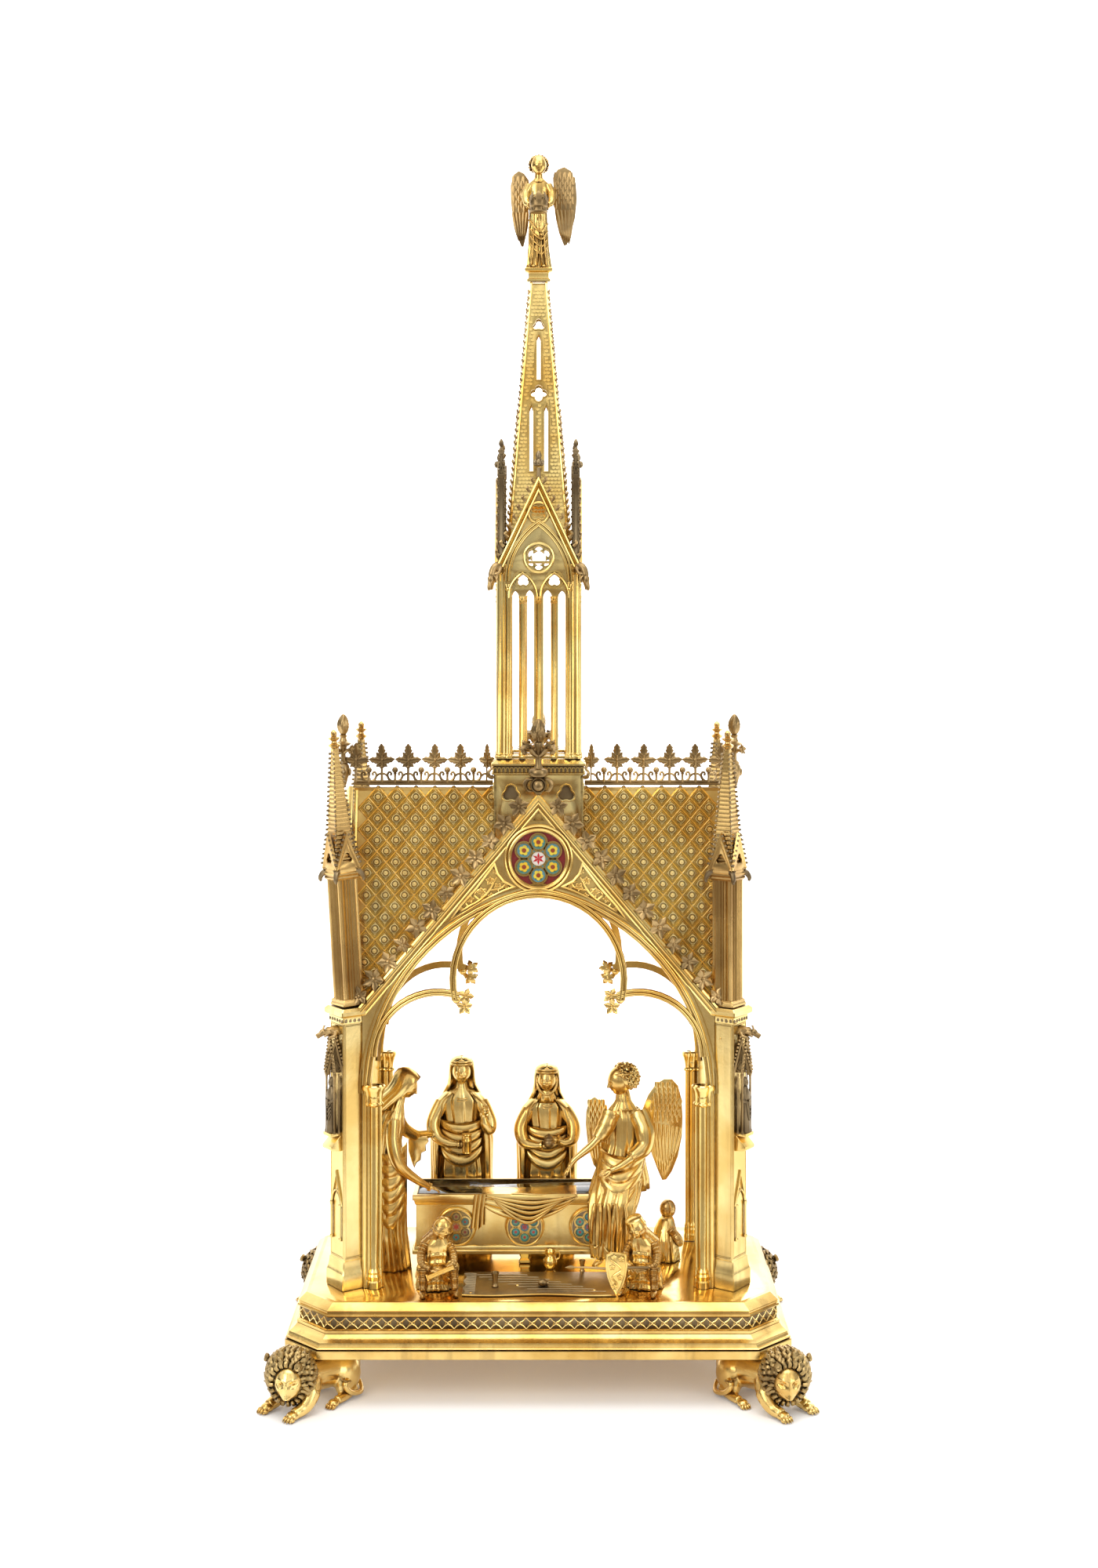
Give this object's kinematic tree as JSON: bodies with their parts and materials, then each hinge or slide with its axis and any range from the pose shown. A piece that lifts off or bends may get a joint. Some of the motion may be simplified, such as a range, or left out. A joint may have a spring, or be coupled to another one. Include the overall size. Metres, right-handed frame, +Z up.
{
  "type": "reliquary",
  "caption": "Standing shrine reliquary: open gabled chamber with crossing tower and spire on lion feet, over a tomb with figures.",
  "frame": {"origin": "on the floor under the centre of the base", "axes": "+Z up, -Y towards the front, +X to the viewer's right"},
  "size_m": [0.3928, 0.2766, 0.8899],
  "materials": {
    "gilt": "polished gilding, worn in places",
    "worn_gilt": "tarnished gilding over silver",
    "enamel": "opaque and translucent enamel",
    "glass": "clear plate"
  },
  "bodies": {
    "root": {"lion_front_left": "gilt", "lion_front_right": "gilt", "lion_back_left": "gilt", "lion_back_right": "gilt", "base": "gilt", "buttress_front_left": "gilt", "statuette_front_left": "worn_gilt", "pinnacle_front_left": "worn_gilt", "buttress_front_right": "gilt", "statuette_front_right": "worn_gilt", "pinnacle_front_right": "worn_gilt", "buttress_back_left": "gilt", "statuette_back_left": "worn_gilt", "pinnacle_back_left": "worn_gilt", "buttress_back_right": "gilt", "statuette_back_right": "worn_gilt", "pinnacle_back_right": "worn_gilt", "frame_front": "gilt", "frame_back": "gilt", "frame_left": "gilt", "frame_right": "gilt", "roof": "gilt", "crest_right": "worn_gilt", "crest_left": "worn_gilt", "ridge_finial_left": "worn_gilt", "ridge_finial_right": "worn_gilt", "gable_finial_front": "worn_gilt", "gable_finial_back": "worn_gilt", "tower_base": "gilt", "lantern": "gilt", "tower_pinnacle_front_left": "worn_gilt", "tower_pinnacle_front_right": "worn_gilt", "tower_pinnacle_back_left": "worn_gilt", "tower_pinnacle_back_right": "worn_gilt", "spire": "gilt", "spire_cap": "gilt", "crown_angel": "gilt", "crown_angel_wing_left": "gilt", "crown_angel_wing_right": "gilt", "crown": "gilt", "tomb": "gilt", "tomb_glass": "glass", "shroud": "gilt", "board": "gilt", "goblet_left": "gilt", "goblet_right": "gilt", "jug": "gilt", "jar": "gilt", "woman_left": "gilt", "woman_centre": "gilt", "woman_right": "gilt", "tomb_angel": "gilt", "tomb_angel_wing_right": "gilt", "tomb_angel_wing_left": "gilt", "soldier_front_left": "gilt", "soldier_front_right": "gilt", "lance": "worn_gilt", "shield": "gilt", "soldier_back_left": "gilt", "soldier_back_right": "gilt"}
  },
  "joints": []
}
